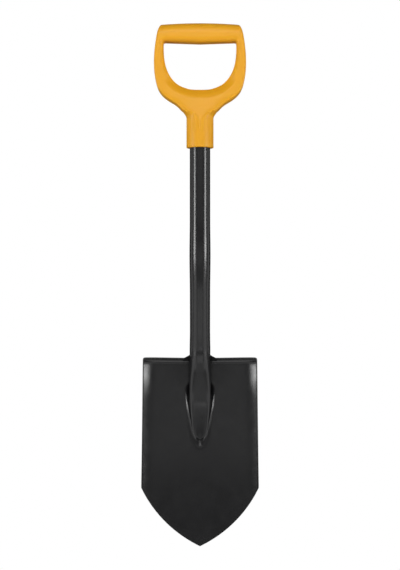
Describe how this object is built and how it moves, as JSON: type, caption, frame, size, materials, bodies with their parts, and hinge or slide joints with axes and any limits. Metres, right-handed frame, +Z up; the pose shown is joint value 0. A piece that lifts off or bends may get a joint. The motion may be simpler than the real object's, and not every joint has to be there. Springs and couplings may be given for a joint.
{
  "type": "garden spade",
  "caption": "Short pointed garden spade: pressed and dished steel blade with folded treads, cranked tubular shaft and one-piece moulded D-handle.",
  "frame": {"origin": "level with the blade's point, on the plane of symmetry, midway through the whole depth", "axes": "+Z up the shaft to the grip, +X to the right seen from the digging face, +Y towards the back of the blade"},
  "size_m": [0.1814, 0.0836, 0.8],
  "materials": {
    "black_coating": "smooth half-gloss black powder coat on steel",
    "orange_plastic": "satin yellow-orange moulding",
    "screw_steel": "zinc-plated steel"
  },
  "bodies": {
    "root": {"blade": "black_coating", "shaft_tube": "black_coating", "shoulder_weld_left": "black_coating", "shoulder_weld_right": "black_coating", "seam_weld_left": "black_coating", "seam_weld_right": "black_coating", "d_handle": "orange_plastic", "handle_screw": "screw_steel"}
  },
  "joints": []
}
